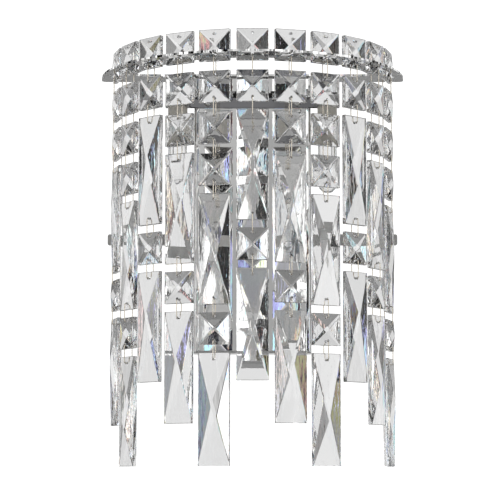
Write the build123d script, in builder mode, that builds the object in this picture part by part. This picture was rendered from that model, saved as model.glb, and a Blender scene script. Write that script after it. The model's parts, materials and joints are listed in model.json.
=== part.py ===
from build123d import *
from math import cos, pi, sin
import os

# Crystal wall sconce. Millimetres, +Z up. The wall is the plane Y = 0 and the sconce stands out
# towards -Y. The origin is the middle of the mounting strap's back face.

os.makedirs("parts", exist_ok=True)

# Crystals. Each has a straight girdle, and on both faces a low pyramid of four facets. On a prism
# the front pyramid's tip lies above the middle, and the back one's as far below it.
square_side = 22.0
prism_length = 76.0
girdle = 3.0
square_rise = 3.0
prism_rise = 3.2
prism_tip_shift = 6.5
# A hole is cut from both faces, so it narrows to a waist in the middle. It has six flats.
hole_waist_radius = 0.55
hole_half_depth = 2.8
hole_taper = 9.0
square_hole_inset = 3.2
prism_hole_inset = 4.5

# Wire links, one between each crystal and the next. The wire has eight flats.
wire = 0.8
wire_flat_cut = wire * (1 - 2**-0.5)
link_width = 6.8
hole_spacing = 13.0
link_seat = 0.1

# Crown: a flat half-round strip, closed by a straight bar along the wall.
crown_radius = 110.0
crown_strip = 22.0
crown_sheet = 1.5
crown_underside = 116.4
crown_corner = 4.0
crown_screw_x = 30.0
ring_radius = 100.0
square_below_crown = 4.3
slot_end_gap = 0.15
slot_side_gap = 0.02
notch_width = 2.0
notch_inward = 1.2
cut_past = 1.0

# Strands, from left to right. A count includes the square that stands in the crown.
strand_squares = (3, 4, 2, 3, 4, 2, 3, 4, 2, 3, 4)
strand_pitch = 15.0
# Strands whose upper or lowest prism hangs with its back to the room.
turned_uppers = (4, 9)
turned_drops = (2, 8, 10)

# Back pan: folded sheet, open towards the wall.
pan_width = 84.0
pan_height = 200.0
pan_depth = 22.0
pan_sheet = 1.0
pan_bend = 2.0
pan_boss_radius = 3.5
pan_boss_height = 2.0

# Mounting strap, its slots for the wall screws, and the studs that hold the pan.
strap_length = 210.0
strap_height = 8.0
strap_sheet = 2.0
strap_corner = 1.5
strap_gap = 0.5
wall_slot_spacing = 184.0
wall_slot_length = 9.0
wall_slot_width = 4.2
stud_x = 25.0
stud_radius = 2.0
stud_length = 28.0
cap_nut_flats = 7.0
cap_nut_hex = 3.2
cap_nut_height = 8.0
cap_nut_dome_radius = 3.2
cap_nut_dome = 2.4

# Small screws and nuts, all of one thread.
screw_radius = 1.5
screw_head_radius = 2.8
screw_head = 2.0
screw_head_round = 0.7
screw_slot_width = 0.8
screw_slot_depth = 0.9
nut_flats = 5.5
nut_height = 2.4
thread_gap = 0.02
thread_end = 1.0
hole_gap = 0.2

# Lamps, one each side of the pan, hanging from the ends of a bar across its front.
lamp_x = 53.5
lamp_depth = 30.0
side_depth = 11.0
bar_z = 97.0
bar_height = 8.0
bar_sheet = 1.5
bar_screw_x = 32.0
holder_radius = 9.0
holder_neck_radius = 7.0
holder_neck = 7.0
holder_shoulder = 2.0
holder_height = 21.0
holder_chamfer = 1.0
holder_thread_depth = 7.0
pinch_width = 12.0
pinch_thickness = 3.6
pinch_length = 13.0
pinch_in_holder = 7.0
pinch_gap = 0.25
capsule_radius = 6.75
capsule_length = 38.0
capsule_shoulder = 3.0
capsule_wall = 0.9
dome_bands = 3
pinch_in_capsule = 2.0
pin_spacing = 9.0
pin_radius = 0.6
pin_length = 4.0
filament_x = 3.2
filament_drop = 19.0
filament_wire = 0.3
filament_coil = 0.7

# Leads, grommets and terminal block.
lead_z = 81.0
lead_radius = 0.75
lead_spacing = 2.4
lead_entry = 3.0
lead_bend = 5.5
lead_spread_bend = 16.5
lead_straight = 8.0
earth_bend = 3.5
earth_out = 4.0
earth_back = 2.0
earth_low_z = 20.0
earth_straight_z = 10.0
lead_hole_gap = 0.1
grommet_bore = 2.15
grommet_neck = 3.2
grommet_flange = 4.4
grommet_lip = 1.0
fit_gap = 0.05
block_width = 18.0
block_depth = 11.0
block_pole = 6.0
block_groove = 1.0
earth_x = -12.0
eyelet_radius = 4.0
eyelet_sheet = 0.8

strand_count = len(strand_squares)
strand_range = strand_pitch * (strand_count - 1)
first_angle = -90.0 - strand_range / 2
crown_top = crown_underside + crown_sheet
crown_square_z = crown_underside - square_below_crown + square_side / 2
square_reach = square_side / 2 - square_hole_inset
prism_reach = prism_length / 2 - prism_hole_inset
pan_middle = crown_underside - pan_height / 2
pan_inside_depth = pan_depth - pan_sheet
screw_hole = screw_radius + hole_gap
thread_hole = screw_radius + thread_gap
shelf_z = bar_z - bar_height / 2
holder_bottom = shelf_z - holder_height
pinch_top = holder_bottom + pinch_in_holder
capsule_top = pinch_top - pinch_length + pinch_in_capsule
block_front = pan_inside_depth - pan_boss_height
block_boss_z = lead_z + block_pole / 2
lamp_axis = Axis((lamp_x, -lamp_depth, 0), (0, 0, 1))


def outline(half_width, rise, tip_shift):
    """One crystal's profile: X is its thickness, and the tips lie to either side of the middle."""
    half_girdle = girdle / 2
    with BuildLine() as line:
        Polyline(
            (half_girdle, half_width),
            (half_girdle + rise, tip_shift),
            (half_girdle, -half_width),
            (-half_girdle, -half_width),
            (-half_girdle - rise, -tip_shift),
            (-half_girdle, half_width),
            close=True,
        )
    return line.line


def make_crystal(length, rise, hole_inset, tip_shift, hole_ends=(1, -1)):
    """A crystal: X is its thickness and Z its length, with a hole near its upper end (1), its
    lower end (-1) or both. Its facets are what the profile along it and the profile across it
    have in common."""
    with BuildPart() as crystal:
        with BuildSketch(Plane.XZ):
            with BuildLine():
                add(outline(length / 2, rise, tip_shift))
            make_face()
        extrude(amount=square_side / 2, both=True)
        with BuildSketch(Plane.XY):
            with BuildLine():
                add(outline(square_side / 2, rise, 0))
            make_face()
        extrude(amount=length / 2, both=True, mode=Mode.INTERSECT)
        reach = length / 2 - hole_inset
        for side in (-1, 1):
            with BuildSketch(Plane.YZ):
                with Locations(*[(0, end * reach) for end in hole_ends]):
                    RegularPolygon(hole_waist_radius, 6, major_radius=False)
            extrude(amount=side * hole_half_depth, taper=-hole_taper, mode=Mode.SUBTRACT)
    return crystal.part


def make_link():
    """A closed loop of wire that lies in the radial plane, with its two bars along X."""
    outer_height = hole_spacing - 2 * link_seat + wire
    with BuildPart() as link:
        with BuildSketch(Plane.XZ):
            Rectangle(link_width, outer_height)
            Rectangle(link_width - 2 * wire, outer_height - 2 * wire, mode=Mode.SUBTRACT)
        extrude(amount=wire / 2, both=True)
        chamfer(link.edges().filter_by(Axis.Y, reverse=True), length=wire_flat_cut)
    return link.part


def strand_heights(square_count):
    """Centre heights of the squares, prisms and links that hang below one crown square."""
    kinds = ["square"] * (square_count - 1) + ["prism", "square", "prism"]
    reach = {"square": square_reach, "prism": prism_reach}
    heights = {"square": [], "prism": [], "link": []}
    hole_z = crown_square_z - square_reach
    for kind in kinds:
        heights["link"].append(hole_z - hole_spacing / 2)
        centre_z = hole_z - hole_spacing - reach[kind]
        heights[kind].append(centre_z)
        hole_z = centre_z - reach[kind]
    return heights


def hang(piece, index, heights, turn=0):
    """Adds a copy of the piece at each height of one strand, with its X pointing outwards."""
    with Locations(*[(0, 0, height) for height in heights]):
        with PolarLocations(ring_radius, 1, first_angle + strand_pitch * index):
            add(piece, rotation=(0, 0, turn), clean=False)


def make_screw(length):
    """A slotted screw that points down from the origin, with its head above."""
    with BuildPart() as screw:
        Cylinder(screw_radius, length, align=(Align.CENTER, Align.CENTER, Align.MAX))
        Cylinder(screw_head_radius, screw_head, align=(Align.CENTER, Align.CENTER, Align.MIN))
        chamfer(screw.faces().sort_by(Axis.Z)[-1].edges(), screw_head_round)
        with Locations((0, 0, screw_head)):
            Box(
                2 * screw_head_radius,
                screw_slot_width,
                screw_slot_depth,
                align=(Align.CENTER, Align.CENTER, Align.MAX),
                mode=Mode.SUBTRACT,
            )
    return screw.part


def make_nut():
    """A hexagon nut that hangs down from the origin."""
    with BuildPart() as nut:
        with BuildSketch():
            RegularPolygon(nut_flats / 2, 6, major_radius=False)
            Circle(thread_hole, mode=Mode.SUBTRACT)
        extrude(amount=-nut_height)
    return nut.part


def finish(builder, name):
    """Labels a finished sub-part and writes it under its name."""
    builder.part.label = name
    export_step(builder.part, f"parts/{name}.step")


square_crystal = make_crystal(square_side, square_rise, square_hole_inset, 0)
prism_crystal = make_crystal(prism_length, prism_rise, prism_hole_inset, prism_tip_shift)
drop_crystal = make_crystal(prism_length, prism_rise, prism_hole_inset, prism_tip_shift, (1,))
wire_link = make_link()
nut = make_nut()

# Crown frame. Each slot is as wide as the crystal is where it leaves the top face, so the
# square wedges in it. A notch through the rim lets the square's link pass.
slot_width = girdle + 2 * square_rise * (square_below_crown + crown_sheet) / (square_side / 2)
slot_width = slot_width + 2 * slot_side_gap
notch_start = ring_radius - slot_width / 2 - notch_inward
notch_length = crown_radius + cut_past - notch_start
with BuildPart() as crown_frame:
    with BuildSketch(Plane.XY.offset(crown_underside)) as crown_outline:
        Circle(crown_radius)
        Rectangle(
            2 * crown_radius,
            crown_radius,
            align=(Align.CENTER, Align.MIN),
            mode=Mode.SUBTRACT,
        )
        fillet(crown_outline.vertices(), crown_corner)
    extrude(amount=crown_sheet)
    with BuildSketch(Plane.XY.offset(crown_underside)) as crown_opening:
        Circle(crown_radius - crown_strip)
        with Locations((0, -pan_depth)):
            Rectangle(
                2 * crown_radius,
                2 * crown_radius,
                align=(Align.CENTER, Align.MIN),
                mode=Mode.SUBTRACT,
            )
        fillet(crown_opening.vertices(), crown_corner)
    extrude(amount=crown_sheet, mode=Mode.SUBTRACT)
    with BuildSketch(Plane.XY.offset(crown_underside)):
        with PolarLocations(ring_radius, strand_count, first_angle, strand_range, endpoint=True):
            Rectangle(slot_width, square_side + 2 * slot_end_gap)
        with PolarLocations(notch_start, strand_count, first_angle, strand_range, endpoint=True):
            Rectangle(notch_length, notch_width, align=(Align.MIN, Align.CENTER))
        with Locations((-crown_screw_x, -side_depth), (crown_screw_x, -side_depth)):
            Circle(screw_hole)
    extrude(amount=crown_sheet, mode=Mode.SUBTRACT)
finish(crown_frame, "crown_frame")

with BuildPart(Plane.XY.offset(crown_square_z)) as crown_squares:
    with PolarLocations(ring_radius, strand_count, first_angle, strand_range, endpoint=True):
        add(square_crystal, clean=False)
finish(crown_squares, "crown_squares")

# Strands: the lowest prism of each is a sub-part of its own, because it swings by itself. It has
# a hole at its top only.
for index, square_count in enumerate(strand_squares):
    number = f"{index + 1:02d}"
    heights = strand_heights(square_count)
    with BuildPart() as strand_crystals:
        hang(square_crystal, index, heights["square"])
        turn = 180 if index + 1 in turned_uppers else 0
        hang(prism_crystal, index, heights["prism"][:-1], turn)
    finish(strand_crystals, f"strand_{number}_crystals")
    with BuildPart() as strand_links:
        hang(wire_link, index, heights["link"])
    finish(strand_links, f"strand_{number}_links")
    with BuildPart() as drop:
        turn = 180 if index + 1 in turned_drops else 0
        hang(drop_crystal, index, heights["prism"][-1:], turn)
    finish(drop, f"drop_{number}")

# Back pan: its front edges are bent, its corners are welded and ground flush.
with BuildPart() as back_pan:
    with BuildSketch(Plane.XZ):
        with Locations((0, pan_middle)):
            Rectangle(pan_width, pan_height)
    extrude(amount=pan_depth)
    fillet(back_pan.faces().sort_by(Axis.Y)[0].edges(), pan_bend)
    offset(amount=-pan_sheet, openings=back_pan.faces().sort_by(Axis.Y)[-1])
    # Notches in both sides, where the strap passes along the wall.
    Box(
        pan_width + 2 * cut_past,
        strap_sheet + strap_gap,
        strap_height + 2 * strap_gap,
        align=(Align.CENTER, Align.MAX, Align.CENTER),
        mode=Mode.SUBTRACT,
    )
    # A threaded boss inside the front for the terminal block.
    with BuildSketch(Plane.XZ.offset(block_front)):
        with Locations((0, block_boss_z)):
            Circle(pan_boss_radius)
    extrude(amount=pan_boss_height)
    with BuildSketch(Plane.XZ.offset(block_front)):
        with Locations((0, block_boss_z)):
            Circle(thread_hole)
    extrude(amount=pan_boss_height, mode=Mode.SUBTRACT)
    # Holes: two for the studs, two for the lamp bar, two in the top, and one for the grommet on
    # each side.
    with BuildSketch(Plane.XZ):
        with Locations((-stud_x, 0), (stud_x, 0)):
            Circle(stud_radius + hole_gap)
        with Locations((-bar_screw_x, bar_z), (bar_screw_x, bar_z)):
            Circle(screw_hole)
    extrude(amount=pan_depth, mode=Mode.SUBTRACT)
    with BuildSketch(Plane.XY.offset(crown_underside)):
        with Locations((-crown_screw_x, -side_depth), (crown_screw_x, -side_depth)):
            Circle(screw_hole)
    extrude(amount=-2 * pan_sheet, mode=Mode.SUBTRACT)
    with BuildSketch(Plane.YZ):
        with Locations((-side_depth, lead_z)):
            Circle(grommet_neck + fit_gap)
    extrude(amount=pan_width, both=True, mode=Mode.SUBTRACT)
finish(back_pan, "back_pan")

with BuildPart() as mounting_strap:
    with BuildSketch(Plane.XZ):
        RectangleRounded(strap_length, strap_height, strap_corner)
        with Locations((-wall_slot_spacing / 2, 0), (wall_slot_spacing / 2, 0)):
            SlotOverall(wall_slot_length, wall_slot_width, mode=Mode.SUBTRACT)
        with Locations((-stud_x, 0), (stud_x, 0)):
            Circle(stud_radius + thread_gap, mode=Mode.SUBTRACT)
        with Locations((earth_x, 0)):
            Circle(thread_hole, mode=Mode.SUBTRACT)
    extrude(amount=strap_sheet)
finish(mounting_strap, "mounting_strap")

with BuildPart() as pan_studs:
    with BuildSketch(Plane.XZ):
        with Locations((-stud_x, 0), (stud_x, 0)):
            Circle(stud_radius)
    extrude(amount=stud_length)
finish(pan_studs, "pan_studs")

# Cap nuts: a hexagon with a domed cap, threaded from behind.
with BuildPart() as cap_nut:
    with BuildSketch():
        RegularPolygon(cap_nut_flats / 2, 6, major_radius=False)
    extrude(amount=cap_nut_hex)
    Cylinder(
        cap_nut_dome_radius,
        cap_nut_height,
        align=(Align.CENTER, Align.CENTER, Align.MIN),
    )
    chamfer(cap_nut.faces().sort_by(Axis.Z)[-1].edges(), cap_nut_dome, cap_nut_dome / 2)
    Cylinder(
        stud_radius + thread_gap,
        stud_length - pan_depth + hole_gap,
        align=(Align.CENTER, Align.CENTER, Align.MIN),
        mode=Mode.SUBTRACT,
    )
with BuildPart(Plane.XZ.offset(pan_depth)) as cap_nuts:
    with Locations((-stud_x, 0), (stud_x, 0)):
        add(cap_nut.part)
finish(cap_nuts, "cap_nuts")

crown_screw = make_screw(crown_sheet + pan_sheet + nut_height + thread_end)
with BuildPart(Plane.XY.offset(crown_top)) as crown_screws:
    with Locations((-crown_screw_x, -side_depth), (crown_screw_x, -side_depth)):
        add(crown_screw)
finish(crown_screws, "crown_screws")

with BuildPart(Plane.XY.offset(crown_underside - pan_sheet)) as crown_nuts:
    with Locations((-crown_screw_x, -side_depth), (crown_screw_x, -side_depth)):
        add(nut)
finish(crown_nuts, "crown_nuts")

# Lamp bar: a strip across the pan's front, bent forward at each end into a shelf over the lamp.
with BuildPart() as lamp_bar:
    with BuildSketch(Plane.XY.offset(shelf_z)):
        with Locations((lamp_x, -pan_depth)):
            Rectangle(2 * holder_radius, bar_sheet, align=(Align.CENTER, Align.MAX))
        with Locations((lamp_x, -lamp_depth)):
            Circle(holder_radius)
        make_hull()
        with Locations((lamp_x, -lamp_depth)):
            Circle(screw_hole, mode=Mode.SUBTRACT)
    extrude(amount=bar_sheet)
    mirror(about=Plane.YZ)
    with BuildSketch(Plane.XZ.offset(pan_depth)):
        with Locations((0, bar_z)):
            Rectangle(2 * (lamp_x + holder_radius), bar_height)
        with Locations((-bar_screw_x, bar_z), (bar_screw_x, bar_z)):
            Circle(screw_hole, mode=Mode.SUBTRACT)
    extrude(amount=bar_sheet)
finish(lamp_bar, "lamp_bar")

bar_screw = make_screw(bar_sheet + pan_sheet + nut_height + thread_end)
with BuildPart(Plane.XZ.offset(pan_depth + bar_sheet)) as bar_screws:
    with Locations((-bar_screw_x, bar_z), (bar_screw_x, bar_z)):
        add(bar_screw)
finish(bar_screws, "bar_screws")

with BuildPart(Plane.XZ.offset(pan_inside_depth)) as bar_nuts:
    with Locations((-bar_screw_x, bar_z), (bar_screw_x, bar_z)):
        add(nut)
finish(bar_nuts, "bar_nuts")

# Lampholders: ceramic, with a slot for the lamp's pinch and two pin holes at its end.
with BuildPart() as lampholder_right:
    with BuildSketch(Plane((lamp_x, -lamp_depth, shelf_z), x_dir=(1, 0, 0), z_dir=(0, -1, 0))):
        with BuildLine():
            Polyline(
                (0, 0),
                (holder_neck_radius, 0),
                (holder_neck_radius, -holder_neck),
                (holder_radius, -holder_neck - holder_shoulder),
                (holder_radius, -holder_height + holder_chamfer),
                (holder_radius - holder_chamfer, -holder_height),
                (0, -holder_height),
                close=True,
            )
        make_face()
    revolve(axis=lamp_axis)
    with BuildSketch(Plane.XY.offset(holder_bottom)):
        with Locations((lamp_x, -lamp_depth)):
            Rectangle(pinch_width + 2 * pinch_gap, pinch_thickness + 2 * pinch_gap)
    extrude(amount=pinch_in_holder + pinch_gap, mode=Mode.SUBTRACT)
    with BuildSketch(Plane.XY.offset(pinch_top)):
        with Locations((lamp_x, -lamp_depth)):
            with GridLocations(pin_spacing, 0, 2, 1):
                Rectangle(2 * pin_radius + hole_gap, 2 * pin_radius + hole_gap)
    extrude(amount=pin_length + pinch_gap, mode=Mode.SUBTRACT)
    with BuildSketch(Plane.XY.offset(shelf_z)):
        with Locations((lamp_x, -lamp_depth)):
            Circle(thread_hole)
    extrude(amount=-holder_thread_depth, mode=Mode.SUBTRACT)
    with BuildSketch(Plane.XZ.offset(lamp_depth - holder_radius)):
        with Locations((lamp_x, lead_z)):
            Rectangle(2 * lead_radius + hole_gap, 2 * lead_radius + hole_gap + lead_spacing)
    extrude(amount=lead_entry + lead_hole_gap, mode=Mode.SUBTRACT)
finish(lampholder_right, "lampholder_right")

with BuildPart() as lampholder_left:
    mirror(lampholder_right.part, about=Plane.YZ)
finish(lampholder_left, "lampholder_left")

holder_screw = make_screw(bar_sheet + holder_thread_depth - thread_end)
with BuildPart(Plane.XY.offset(shelf_z + bar_sheet)) as holder_screws:
    with Locations((-lamp_x, -lamp_depth), (lamp_x, -lamp_depth)):
        add(holder_screw)
finish(holder_screws, "holder_screws")

# Lamps: a hollow glass capsule on a flat glass pinch, two pins, and a filament on two stays.
with BuildPart() as lamp_glass_right:
    for inset, mode in ((0.0, Mode.ADD), (capsule_wall, Mode.SUBTRACT)):
        radius = capsule_radius - inset
        shoulder = capsule_shoulder - inset
        top = capsule_top - inset
        dome_centre = capsule_top - capsule_length + capsule_radius
        dome = [
            (radius * sin(pi / 2 * step / dome_bands), -radius * cos(pi / 2 * step / dome_bands))
            for step in range(dome_bands + 1)
        ]
        with BuildSketch(Plane((lamp_x, -lamp_depth, 0), x_dir=(1, 0, 0), z_dir=(0, -1, 0))):
            with BuildLine():
                Polyline(
                    *[(x, dome_centre + z) for x, z in dome],
                    (radius, top - shoulder),
                    (radius - shoulder, top),
                    (0, top),
                    close=True,
                )
            make_face()
        revolve(axis=lamp_axis, mode=mode)
    with Locations((lamp_x, -lamp_depth, pinch_top)):
        Box(
            pinch_width,
            pinch_thickness,
            pinch_length,
            align=(Align.CENTER, Align.CENTER, Align.MAX),
        )
finish(lamp_glass_right, "lamp_glass_right")

with BuildPart() as lamp_glass_left:
    mirror(lamp_glass_right.part, about=Plane.YZ)
finish(lamp_glass_left, "lamp_glass_left")

with BuildPart() as lamp_pins:
    with BuildSketch(Plane.XY.offset(pinch_top)):
        with Locations((-lamp_x, -lamp_depth), (lamp_x, -lamp_depth)):
            with GridLocations(pin_spacing, 0, 2, 1):
                Circle(pin_radius)
    extrude(amount=pin_length)
finish(lamp_pins, "lamp_pins")

stay_top = pinch_top - pinch_length
with BuildPart() as lamp_filaments:
    with BuildSketch(Plane.XY.offset(stay_top)):
        with Locations((-lamp_x, -lamp_depth), (lamp_x, -lamp_depth)):
            with GridLocations(2 * filament_x, 0, 2, 1):
                RegularPolygon(filament_wire, 6)
    extrude(amount=-filament_drop)
    with BuildSketch(Plane.YZ):
        with Locations((-lamp_depth, stay_top - filament_drop)):
            RegularPolygon(filament_coil, 8)
    extrude(amount=lamp_x + filament_x, both=True)
    Box(2 * (lamp_x - filament_x), 2 * pan_width, 2 * pan_height, mode=Mode.SUBTRACT)
finish(lamp_filaments, "lamp_filaments")

# Grommets: rubber rings that line the lead holes in the pan's sides.
with BuildPart() as grommet:
    Cylinder(grommet_flange, grommet_lip, align=(Align.CENTER, Align.CENTER, Align.MIN))
    with Locations((0, 0, -pan_sheet)):
        Cylinder(grommet_neck, pan_sheet, align=(Align.CENTER, Align.CENTER, Align.MIN))
        Cylinder(grommet_flange, grommet_lip, align=(Align.CENTER, Align.CENTER, Align.MAX))
    Cylinder(grommet_bore, 2 * (pan_sheet + 2 * grommet_lip), mode=Mode.SUBTRACT)
right_side = Plane((pan_width / 2, -side_depth, lead_z), x_dir=(0, 1, 0), z_dir=(1, 0, 0))
left_side = Plane((-pan_width / 2, -side_depth, lead_z), x_dir=(0, -1, 0), z_dir=(-1, 0, 0))
with BuildPart(right_side, left_side) as lead_grommets:
    add(grommet.part)
finish(lead_grommets, "lead_grommets")

# Terminal block: three poles side by side, wires along X, one screw into the pan's boss.
block_height = 3 * block_pole
with BuildPart() as terminal_block:
    with BuildSketch(Plane.XZ.offset(block_front - block_depth)):
        with Locations((0, lead_z)):
            Rectangle(block_width, block_height)
            with GridLocations(block_width, block_pole, 2, 2):
                Rectangle(2 * block_groove, block_groove, mode=Mode.SUBTRACT)
    extrude(amount=block_depth)
    with BuildSketch(Plane.YZ):
        with Locations((-side_depth, lead_z)):
            with GridLocations(0, block_pole, 1, 3):
                Circle(lead_radius + lead_hole_gap)
    extrude(amount=block_width, both=True, mode=Mode.SUBTRACT)
    with BuildSketch(Plane.XZ.offset(block_front - block_depth)):
        with Locations((0, block_boss_z)):
            Circle(screw_hole)
    extrude(amount=block_depth, mode=Mode.SUBTRACT)
finish(terminal_block, "terminal_block")

block_screw = make_screw(block_depth + pan_boss_height)
facing_wall = Plane((0, 0, 0), x_dir=(1, 0, 0), z_dir=(0, 1, 0))
with BuildPart(facing_wall.offset(block_depth - block_front)) as terminal_screw:
    with Locations((0, -block_boss_z, 0)):
        add(block_screw)
finish(terminal_screw, "terminal_screw")


def make_lead(points, bends):
    """One insulated lead along straight runs joined by tangent arcs."""
    with BuildPart() as lead:
        with BuildLine() as route:
            FilletPolyline(*points, radius=bends)
        with BuildSketch(Plane(origin=route.wire() @ 0, z_dir=route.wire() % 0)):
            RegularPolygon(lead_radius, 8)
        sweep()
    return lead.part


# Leads: out of the back of the lampholder, round to the grommet, then spread to the block.
entry_y = holder_radius - lamp_depth - lead_entry
with BuildPart() as leads_right:
    for side in (-1, 1):
        pair_z = lead_z + side * lead_spacing / 2
        pole_z = lead_z + side * block_pole
        route = [
            (lamp_x, entry_y, pair_z),
            (lamp_x, -side_depth, pair_z),
            (pan_width / 2 - lead_straight, -side_depth, pair_z),
            (block_width / 2 + lead_straight, -side_depth, pole_z),
            (block_width / 2 - lead_entry, -side_depth, pole_z),
        ]
        add(make_lead(route, [lead_bend, lead_spread_bend, lead_spread_bend]))
finish(leads_right, "leads_right")

with BuildPart() as leads_left:
    mirror(leads_right.part, about=Plane.YZ)
finish(leads_left, "leads_left")

# Earth: a lead from the middle pole to an eyelet under a screw in the strap.
eyelet_y = -strap_sheet - lead_radius - fit_gap
earth_route = [
    (lead_entry - block_width / 2, -side_depth, lead_z),
    (earth_x - earth_out, -side_depth, lead_z),
    (earth_x - earth_out, -side_depth / 2, lead_z - block_pole),
    (earth_x - earth_out, eyelet_y - earth_back, earth_low_z),
    (earth_x, eyelet_y, earth_straight_z),
    (earth_x, eyelet_y, eyelet_radius - fit_gap),
]
with BuildPart() as earth_lead:
    add(make_lead(earth_route, [earth_bend, lead_bend, lead_bend, lead_bend]))
    with BuildSketch(Plane.XZ.offset(strap_sheet)):
        with Locations((earth_x, 0)):
            Circle(eyelet_radius)
            Circle(screw_hole, mode=Mode.SUBTRACT)
    extrude(amount=eyelet_sheet)
finish(earth_lead, "earth_lead")

strap_screw = make_screw(strap_sheet + eyelet_sheet)
with BuildPart(Plane.XZ.offset(strap_sheet + eyelet_sheet)) as earth_screw:
    with Locations((earth_x, 0)):
        add(strap_screw)
finish(earth_screw, "earth_screw")
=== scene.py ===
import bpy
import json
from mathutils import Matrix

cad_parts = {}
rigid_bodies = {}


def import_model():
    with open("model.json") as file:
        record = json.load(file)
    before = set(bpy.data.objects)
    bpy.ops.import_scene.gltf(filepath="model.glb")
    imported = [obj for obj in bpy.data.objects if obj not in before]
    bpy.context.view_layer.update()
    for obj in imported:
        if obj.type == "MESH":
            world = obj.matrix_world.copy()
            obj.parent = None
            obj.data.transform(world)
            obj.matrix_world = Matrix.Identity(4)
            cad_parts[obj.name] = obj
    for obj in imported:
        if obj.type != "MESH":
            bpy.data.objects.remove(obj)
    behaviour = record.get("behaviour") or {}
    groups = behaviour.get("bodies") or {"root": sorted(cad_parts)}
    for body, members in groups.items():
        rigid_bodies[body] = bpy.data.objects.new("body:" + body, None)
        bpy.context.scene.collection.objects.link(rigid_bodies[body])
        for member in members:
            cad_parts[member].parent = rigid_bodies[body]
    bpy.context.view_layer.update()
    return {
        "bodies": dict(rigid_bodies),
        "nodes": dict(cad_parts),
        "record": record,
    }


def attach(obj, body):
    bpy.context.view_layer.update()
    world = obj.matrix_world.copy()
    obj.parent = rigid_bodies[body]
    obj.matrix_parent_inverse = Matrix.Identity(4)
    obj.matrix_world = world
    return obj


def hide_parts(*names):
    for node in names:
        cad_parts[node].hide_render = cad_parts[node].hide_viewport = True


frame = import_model()

import json
import math

import bmesh
import bpy
from mathutils import Vector

# The crystal wall sconce in metres, in the frame of its CAD model: the wall is the plane y = 0,
# the sconce stands out towards -y and +z is up.
MM = 0.001
nodes = frame["nodes"]
strand_names = sorted(name for name in frame["bodies"] if name.startswith("strand_"))
scene = bpy.context.scene

# Camera: the photo is taken from just below the sconce, from about one and a half metres.
CAMERA_PLACE = Vector((0.0, -1.467, -0.1705))
CAMERA_PITCH = 6.35
CAMERA_LENS = 146.5
CAMERA_SENSOR = 36.0
CAMERA_SHIFT_X = -0.005

# In the CAD meshes, points closer than this are one, and so are faces that differ by less.
WELD_REACH = 0.001 * MM
FLAT_ANGLE = math.radians(0.6)

# The crystals' edges: the width of the bevel, the least angle between facets that have one, and
# the half-width of the strip round the drilled holes that has none.
CUT_BEVEL = 0.45 * MM
CUT_LEAST_ANGLE = math.radians(4)
HOLE_REACH = 1.9 * MM

# The links are bent round this radius at their corners. Their round wire is a little thinner
# than the eight-sided one, for play in the drilled holes.
LINK_CORNER = 1.1 * MM
LINK_CORNER_STEPS = 5
WIRE_SHARE = 0.9
WIRE_ROUNDNESS = 3

# The polished edges of the crown and the lamp bar: their rounding, the least angle of an edge
# that has one, and the greatest angle that is shaded smooth.
SHEET_ROUND = 0.45 * MM
SHEET_ROUND_STEPS = 3
SHEET_EDGE_ANGLE = math.radians(50)
SHEET_SMOOTH_ANGLE = math.radians(35)


# ---------------------------------------------------------------- materials
# Metals: colour, least and greatest roughness, and the noise between them in repeats per metre.
METALS = {
    "link_wire": ((0.86, 0.80, 0.70), 0.06, 0.14, 200),
    "polished_chrome": ((0.80, 0.80, 0.795), 0.01, 0.03, 60),
    # The lamp bar's chrome is a darker copy of the polished chrome. The darkness is painted shade
    # and painted reflection: it stands in for the dark reflections and shadow that its polish
    # shows.
    "painted_dark_chrome": ((0.30, 0.30, 0.31), 0.01, 0.03, 60),
    "strap_steel": ((0.50, 0.50, 0.49), 0.28, 0.42, 200),
    "plated_steel": ((0.66, 0.66, 0.64), 0.15, 0.28, 200),
    "tungsten": ((0.25, 0.25, 0.26), 0.3, 0.45, 200),
    "brass": ((0.80, 0.60, 0.28), 0.18, 0.3, 200),
}
# Ceramic, plastics and rubber: colour, and least and greatest roughness.
PLAINS = {
    "ceramic": ((0.84, 0.81, 0.74), 0.12, 0.25),
    "rubber": ((0.02, 0.02, 0.02), 0.5, 0.7),
    "block_plastic": ((0.82, 0.82, 0.78), 0.4, 0.55),
    "lead_sleeve": ((0.80, 0.79, 0.74), 0.35, 0.5),
}
GRAIN = 400
GRAIN_HEIGHT = 0.02 * MM

# Cut crystal, and the faint waves of its polish, which are drawn out upwards.
CRYSTAL_IOR = 1.54
CRYSTAL_COLOUR = (0.985, 0.985, 0.985, 1)
WAVES = 150
WAVES_STRETCH = (2.0, 2.0, 0.4)
WAVES_HEIGHT = 0.06 * MM

SLEEVE_GREEN = (0.05, 0.32, 0.05, 1)
SLEEVE_YELLOW = (0.8, 0.72, 0.05, 1)
SLEEVE_GREEN_SHARE = 0.6
SLEEVE_STRIPES = 180.0

NOISE_DETAIL = 3.0


def new_material(name):
    """An empty node material with its output node."""
    material = bpy.data.materials.new(name)
    material.use_nodes = True
    tree = material.node_tree
    tree.nodes.clear()
    output = tree.nodes.new("ShaderNodeOutputMaterial")
    return material, tree, output


def principled(tree, output, **values):
    """A Principled shader on the output, with its sockets set by name."""
    shader = tree.nodes.new("ShaderNodeBsdfPrincipled")
    for socket, value in values.items():
        shader.inputs[socket.replace("_", " ")].default_value = value
    tree.links.new(shader.outputs["BSDF"], output.inputs["Surface"])
    return shader


def noise(tree, scale, stretch=(1.0, 1.0, 1.0)):
    """A noise texture in object space, with its scale in repeats per metre."""
    place = tree.nodes.new("ShaderNodeTexCoord")
    mapping = tree.nodes.new("ShaderNodeMapping")
    mapping.inputs["Scale"].default_value = stretch
    texture = tree.nodes.new("ShaderNodeTexNoise")
    texture.inputs["Scale"].default_value = scale
    texture.inputs["Detail"].default_value = NOISE_DETAIL
    tree.links.new(place.outputs["Object"], mapping.inputs["Vector"])
    tree.links.new(mapping.outputs["Vector"], texture.inputs["Vector"])
    return texture


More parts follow.
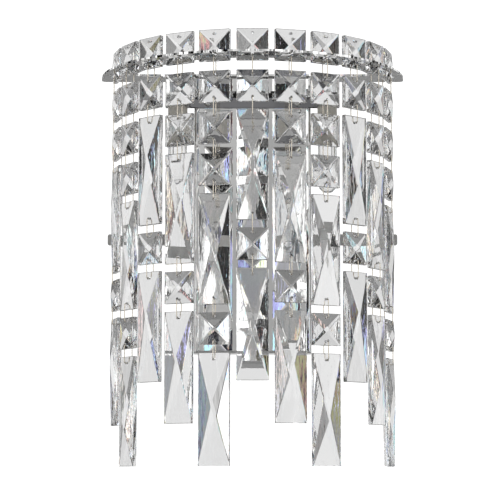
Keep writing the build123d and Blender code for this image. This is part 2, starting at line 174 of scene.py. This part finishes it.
def vary(tree, source, socket, low, high):
    """Drives a socket from a texture, between two values."""
    spread = tree.nodes.new("ShaderNodeMapRange")
    spread.inputs["To Min"].default_value = low
    spread.inputs["To Max"].default_value = high
    tree.links.new(source.outputs["Fac"], spread.inputs["Value"])
    tree.links.new(spread.outputs["Result"], socket)


def bump(tree, source, shader, height):
    """Bumps a shader by a texture, with the height in metres."""
    node = tree.nodes.new("ShaderNodeBump")
    node.inputs["Distance"].default_value = height
    tree.links.new(source.outputs["Fac"], node.inputs["Height"])
    tree.links.new(node.outputs["Normal"], shader.inputs["Normal"])


def crystal():
    """Cut crystal: clear glass whose polish is faintly uneven."""
    material, tree, output = new_material("crystal")
    glass = tree.nodes.new("ShaderNodeBsdfGlass")
    glass.inputs["Color"].default_value = CRYSTAL_COLOUR
    glass.inputs["IOR"].default_value = CRYSTAL_IOR
    waves = noise(tree, WAVES, WAVES_STRETCH)
    vary(tree, waves, glass.inputs["Roughness"], 0.0, 0.01)
    bump(tree, waves, glass, WAVES_HEIGHT)
    tree.links.new(glass.outputs["BSDF"], output.inputs["Surface"])
    return material


def lamp_glass():
    """Clear quartz glass."""
    material, tree, output = new_material("lamp_glass")
    shader = principled(
        tree, output, Base_Color=(1, 1, 1, 1), Roughness=0.02, IOR=1.46, Transmission_Weight=1.0
    )
    vary(tree, noise(tree, 300), shader.inputs["Roughness"], 0.0, 0.05)
    return material


def metal(name, colour, low, high, scale):
    """Plated or polished metal, with a faint change of gloss over its surface."""
    material, tree, output = new_material(name)
    shader = principled(tree, output, Base_Color=(*colour, 1), Metallic=1.0, Roughness=low)
    vary(tree, noise(tree, scale), shader.inputs["Roughness"], low, high)
    return material


def plain(name, colour, low, high):
    """Ceramic, plastic or rubber, with a faint grain."""
    material, tree, output = new_material(name)
    shader = principled(tree, output, Base_Color=(*colour, 1), Roughness=low)
    grain = noise(tree, GRAIN)
    vary(tree, grain, shader.inputs["Roughness"], low, high)
    bump(tree, grain, shader, GRAIN_HEIGHT)
    return material


def earth_sleeve():
    """A green sleeve with yellow stripes along it."""
    material, tree, output = new_material("earth_sleeve")
    shader = principled(tree, output, Roughness=0.45)
    place = tree.nodes.new("ShaderNodeTexCoord")
    stripes = tree.nodes.new("ShaderNodeTexWave")
    stripes.bands_direction = "X"
    stripes.inputs["Scale"].default_value = SLEEVE_STRIPES
    colours = tree.nodes.new("ShaderNodeValToRGB")
    colours.color_ramp.interpolation = "CONSTANT"
    green, yellow = colours.color_ramp.elements
    green.color = SLEEVE_GREEN
    yellow.color = SLEEVE_YELLOW
    yellow.position = SLEEVE_GREEN_SHARE
    tree.links.new(place.outputs["Object"], stripes.inputs["Vector"])
    tree.links.new(stripes.outputs["Fac"], colours.inputs["Fac"])
    tree.links.new(colours.outputs["Color"], shader.inputs["Base Color"])
    return material


finishes = {
    "crystal": crystal(),
    "lamp_glass": lamp_glass(),
    "earth_sleeve": earth_sleeve(),
    **{name: metal(name, *values) for name, values in METALS.items()},
    **{name: plain(name, *values) for name, values in PLAINS.items()},
}
for subpart in frame["record"]["subparts"]:
    mesh = nodes[subpart["node"]].data
    mesh.materials.clear()
    mesh.materials.append(finishes[subpart["material_slot"]])


# ---------------------------------------------------------------- crystals, links and sheet
def welded(mesh):
    """A bmesh of a node's mesh, with its doubled points made one."""
    shape = bmesh.new()
    shape.from_mesh(mesh)
    bmesh.ops.remove_doubles(shape, verts=shape.verts, dist=WELD_REACH)
    return shape


def faceted(mesh):
    """A bmesh of a node's mesh, with each flat facet made one face."""
    shape = welded(mesh)
    bmesh.ops.dissolve_limit(
        shape, angle_limit=FLAT_ANGLE, verts=shape.verts, edges=shape.edges
    )
    return shape


def finished(shape, name):
    """The mesh of a bmesh that is done with."""
    mesh = bpy.data.meshes.new(name)
    shape.to_mesh(mesh)
    shape.free()
    return mesh


def islands(shape):
    """The separate pieces of a bmesh, each a set of its points."""
    pieces = []
    done = set()
    for start in shape.verts:
        if start in done:
            continue
        piece = {start}
        rim = piece
        while rim:
            rim = {e.other_vert(v) for v in rim for e in v.link_edges} - piece
            piece |= rim
        done |= piece
        pieces.append(piece)
    return pieces


def lie_of(points):
    """The middle of some points, the level direction in which they reach furthest, their height."""
    low = Vector(min(p[axis] for p in points) for axis in range(3))
    high = Vector(max(p[axis] for p in points) for axis in range(3))
    middle = (low + high) / 2
    spread = [(p - middle).xy for p in points]
    sum_xx = sum(v.x * v.x for v in spread)
    sum_yy = sum(v.y * v.y for v in spread)
    sum_xy = sum(v.x * v.y for v in spread)
    angle = 0.5 * math.atan2(2 * sum_xy, sum_xx - sum_yy)
    return middle, Vector((math.cos(angle), math.sin(angle), 0)), high.z - low.z


def stand_in(mesh, name, body, slot, finish=None):
    """Puts a mesh in place of a CAD node, on its body."""
    made = bpy.data.objects.new(mesh.name, mesh)
    scene.collection.objects.link(made)
    mesh.materials.clear()
    mesh.materials.append(finishes[finish or slot])
    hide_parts(name)
    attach(made, body)


def cut_crystals(name, body):
    """Crystals in place of their solids, with the narrow bevel of a real cut along each edge."""
    shape = faceted(nodes[name].data)
    cuts = []
    for piece in islands(shape):
        middle, sideways, _ = lie_of([v.co for v in piece])
        for edge in {e for v in piece for e in v.link_edges}:
            at_hole = all(abs((v.co - middle).dot(sideways)) < HOLE_REACH for v in edge.verts)
            if not at_hole and edge.calc_face_angle(0) > CUT_LEAST_ANGLE:
                cuts.append(edge)
    bmesh.ops.bevel(
        shape, geom=cuts, offset=CUT_BEVEL, offset_type="WIDTH", segments=1, affect="EDGES",
        clamp_overlap=True,
    )
    stand_in(finished(shape, name + "_cut"), name, body, "crystal")


def loop_points(half_width, half_height, corner):
    """The middle line of a rounded rectangle, as pairs of across and up."""
    points = []
    for quarter, (side, end) in enumerate(((1, 1), (-1, 1), (-1, -1), (1, -1))):
        for step in range(LINK_CORNER_STEPS + 1):
            angle = math.radians(90 * (quarter + step / LINK_CORNER_STEPS))
            across = side * (half_width - corner) + corner * math.cos(angle)
            up = end * (half_height - corner) + corner * math.sin(angle)
            points.append((across, up))
    return points


def round_links(name, body):
    """Round wire in place of a strand's links, each loop where its solid is."""
    curve = bpy.data.curves.new(name + "_curve", "CURVE")
    curve.dimensions = "3D"
    shape = welded(nodes[name].data)
    for piece in islands(shape):
        points = [v.co for v in piece]
        middle, outwards, height = lie_of(points)
        level = [(p - middle).xy for p in points]
        thickness = 2 * max(abs(v.x * outwards.y - v.y * outwards.x) for v in level)
        half_width = max(abs(v.dot(outwards.xy)) for v in level) - thickness / 2
        loop = loop_points(half_width, (height - thickness) / 2, LINK_CORNER)
        spline = curve.splines.new("POLY")
        spline.points.add(len(loop) - 1)
        for place, (across, up) in zip(spline.points, loop):
            place.co = (*(middle + outwards * across + Vector((0, 0, up))), 1)
        spline.use_cyclic_u = True
        curve.bevel_depth = WIRE_SHARE * thickness / 2
    shape.free()
    curve.bevel_resolution = WIRE_ROUNDNESS
    bent = bpy.data.objects.new(name + "_curve", curve)
    mesh = bpy.data.meshes.new_from_object(bent)
    bpy.data.objects.remove(bent)
    mesh.name = name + "_wire"
    for polygon in mesh.polygons:
        polygon.use_smooth = True
    stand_in(mesh, name, body, "link_wire")


def round_sheet(name, finish):
    """A sheet metal piece in place of its solid, with its sharp edges polished round."""
    shape = faceted(nodes[name].data)
    sharp = [e for e in shape.edges if e.is_manifold and e.calc_face_angle(0) > SHEET_EDGE_ANGLE]
    bmesh.ops.bevel(
        shape, geom=sharp, offset=SHEET_ROUND, offset_type="OFFSET",
        segments=SHEET_ROUND_STEPS, affect="EDGES", clamp_overlap=True,
    )
    mesh = finished(shape, name + "_polished")
    for polygon in mesh.polygons:
        polygon.use_smooth = True
    mesh.set_sharp_from_angle(angle=SHEET_SMOOTH_ANGLE)
    stand_in(mesh, name, "root", "polished_chrome", finish)


round_sheet("crown_frame", "polished_chrome")
# The lamp bar gets the darker chrome, which is painted shade and painted reflection for its black
# band.
round_sheet("lamp_bar", "painted_dark_chrome")
cut_crystals("crown_squares", "root")
for strand in strand_names:
    round_links(strand + "_links", strand)
    cut_crystals(strand + "_crystals", strand)
    drop = strand.replace("strand", "drop")
    cut_crystals(drop, drop)


# ---------------------------------------------------------------- stage, light and camera
FLOOR_SIZE = 6.0
FLOOR_Z = -0.45


def make_stage():
    """A pale floor well below the sconce."""
    bpy.ops.mesh.primitive_plane_add(size=FLOOR_SIZE, location=(0, 0, FLOOR_Z))
    floor = bpy.context.object
    floor.name = "floor"
    material, tree, output = new_material("floor")
    shader = principled(tree, output, Base_Color=(0.86, 0.86, 0.86, 1), Roughness=0.6)
    vary(tree, noise(tree, 5), shader.inputs["Roughness"], 0.55, 0.65)
    floor.data.materials.append(material)


# The studio's brightness, by direction. Along the horizon the angle runs from 0 behind the sconce
# to 1 behind the camera, on both sides alike; upwards it runs from 0 straight down to 1 straight
# up. Each stop is a place and a level.
AROUND = (
    (0.00, 0.68), (0.045, 0.71), (0.065, 0.66), (0.08, 0.60), (0.16, 0.62), (0.22, 0.85),
    (0.30, 0.80), (0.40, 0.35), (0.50, 0.40), (0.60, 0.9), (0.72, 0.9), (0.80, 0.95),
    (0.92, 0.85), (0.95, 0.47), (1.00, 0.45),
)
UPWARDS = (
    (0.00, 0.35), (0.30, 0.6), (0.42, 0.8), (0.48, 1.0), (0.60, 1.0), (0.68, 0.8),
    (0.80, 1.1), (0.84, 0.9), (0.87, 0.06), (1.00, 0.03),
)
# From this angle on, the camera's side is darker below the horizon.
CAMERA_SIDE = 0.75
CAMERA_SIDE_UPWARDS = ((0.0, 0.1), (0.425, 0.05), (0.435, 0.9), (0.50, 1.0), (1.0, 1.0))

# How much of the pattern of panels shows: little straight behind the sconce and the camera.
PANELS_AROUND = (
    (0.00, 0.0), (0.05, 0.0), (0.075, 0.9), (0.10, 1.0), (0.90, 1.0), (0.94, 0.3), (1.0, 0.15),
)
# The panels themselves, from black cards to bright boxes, by their random number.
PANEL_LEVELS = (
    (0.00, 0.00), (0.27, 0.01), (0.28, 0.10), (0.40, 0.14), (0.41, 0.45), (0.55, 0.55),
    (0.56, 1.0), (0.76, 1.1), (0.77, 1.6), (1.00, 1.8),
)
PANELS_PER_RADIAN = 20.0
PANEL_STRETCH = 0.3

# The glass bends blue more than red: the studio is spread by this share to each side of green.
COLOUR_SPREAD = 0.004
COLOUR_STRENGTH = 0.45


def ramp(tree, source, stops):
    """A grey ramp over a value from 0 to 1."""
    node = tree.nodes.new("ShaderNodeValToRGB")
    elements = node.color_ramp.elements
    while len(elements) < len(stops):
        elements.new(1.0)
    for element, (position, value) in zip(elements, stops):
        element.position = position
        element.color = (value, value, value, 1)
    tree.links.new(source, node.inputs["Fac"])
    return node.outputs["Color"]


def maths(tree, operation, *values):
    """A maths node whose inputs are sockets or numbers."""
    node = tree.nodes.new("ShaderNodeMath")
    node.operation = operation
    for slot, value in zip(node.inputs, values):
        if isinstance(value, (int, float)):
            slot.default_value = value
        else:
            tree.links.new(value, slot)
    return node.outputs["Value"]


def panels(tree, direction, sideways):
    """Random flat panels round the sconce: their level in one direction."""
    stretched = tree.nodes.new("ShaderNodeMapping")
    stretched.inputs["Scale"].default_value = (1.0, 1.0, PANEL_STRETCH)
    tree.links.new(direction, stretched.inputs["Vector"])
    cells = tree.nodes.new("ShaderNodeTexVoronoi")
    cells.inputs["Scale"].default_value = PANELS_PER_RADIAN
    cells.distance = "CHEBYCHEV"
    tree.links.new(stretched.outputs["Vector"], cells.inputs["Vector"])
    split = tree.nodes.new("ShaderNodeSeparateColor")
    tree.links.new(cells.outputs["Color"], split.inputs["Color"])
    change = maths(tree, "SUBTRACT", ramp(tree, split.outputs["Red"], PANEL_LEVELS), 1.0)
    return maths(tree, "MULTIPLY_ADD", change, ramp(tree, sideways, PANELS_AROUND), 1.0)


def studio_level(tree, place, spread):
    """The studio's brightness in one colour, which the spread moves a little outwards."""
    moved = tree.nodes.new("ShaderNodeVectorMath")
    moved.operation = "SCALE"
    moved.inputs["Scale"].default_value = 1.0 + spread
    tree.links.new(place, moved.inputs[0])
    split = tree.nodes.new("ShaderNodeSeparateXYZ")
    tree.links.new(moved.outputs["Vector"], split.inputs["Vector"])
    x, y, z = split.outputs["X"], split.outputs["Y"], split.outputs["Z"]
    turn = maths(tree, "DIVIDE", maths(tree, "ARCTAN2", maths(tree, "ABSOLUTE", x), y), math.pi)
    sideways = maths(tree, "MULTIPLY", turn, 1.0 + spread)
    height = maths(tree, "MULTIPLY_ADD", z, 0.5, 0.5)
    level = maths(tree, "MULTIPLY", ramp(tree, sideways, AROUND), ramp(tree, height, UPWARDS))
    level = maths(tree, "MULTIPLY", level, panels(tree, moved.outputs["Vector"], sideways))
    at_camera = maths(tree, "MULTIPLY", level, ramp(tree, height, CAMERA_SIDE_UPWARDS))
    camera_side = maths(tree, "GREATER_THAN", sideways, CAMERA_SIDE)
    return maths(
        tree, "MULTIPLY_ADD", maths(tree, "SUBTRACT", at_camera, level), camera_side, level
    )


def make_world():
    """The studio, with soft boxes and dark cards. The camera itself sees plain white."""
    world = bpy.data.worlds.new("studio")
    scene.world = world
    world.use_nodes = True
    tree = world.node_tree
    tree.nodes.clear()
    place = tree.nodes.new("ShaderNodeTexCoord").outputs["Generated"]
    colour = tree.nodes.new("ShaderNodeCombineColor")
    for channel, spread in (("Red", -COLOUR_SPREAD), ("Green", 0.0), ("Blue", COLOUR_SPREAD)):
        tree.links.new(studio_level(tree, place, spread), colour.inputs[channel])
    # Only light bent by glass is coloured, so mirrors stay grey.
    path = tree.nodes.new("ShaderNodeLightPath")
    strength = maths(tree, "MULTIPLY", path.outputs["Is Transmission Ray"], COLOUR_STRENGTH)
    calmer = tree.nodes.new("ShaderNodeHueSaturation")
    tree.links.new(strength, calmer.inputs["Saturation"])
    tree.links.new(colour.outputs["Color"], calmer.inputs["Color"])
    around = tree.nodes.new("ShaderNodeBackground")
    tree.links.new(calmer.outputs["Color"], around.inputs["Color"])
    seen = tree.nodes.new("ShaderNodeBackground")
    seen.inputs["Color"].default_value = (1, 1, 1, 1)
    choose = tree.nodes.new("ShaderNodeMixShader")
    output = tree.nodes.new("ShaderNodeOutputWorld")
    tree.links.new(path.outputs["Is Camera Ray"], choose.inputs["Fac"])
    tree.links.new(around.outputs["Background"], choose.inputs[1])
    tree.links.new(seen.outputs["Background"], choose.inputs[2])
    tree.links.new(choose.outputs["Shader"], output.inputs["Surface"])


def make_camera():
    """The photo's viewpoint, pitched up a little."""
    data = bpy.data.cameras.new("camera")
    data.lens = CAMERA_LENS
    data.sensor_width = CAMERA_SENSOR
    data.shift_x = CAMERA_SHIFT_X
    camera = bpy.data.objects.new("camera", data)
    camera.location = CAMERA_PLACE
    camera.rotation_euler = (math.radians(90 + CAMERA_PITCH), 0, 0)
    scene.collection.objects.link(camera)
    scene.camera = camera


make_stage()
make_world()
make_camera()
scene.view_settings.view_transform = "Standard"
scene.view_settings.look = "Medium High Contrast"
# Light passes through many facets before it leaves the crystals.
scene.cycles.max_bounces = 32
scene.cycles.transmission_bounces = 32
scene.cycles.glossy_bounces = 16
scene.cycles.sample_clamp_indirect = 6.0
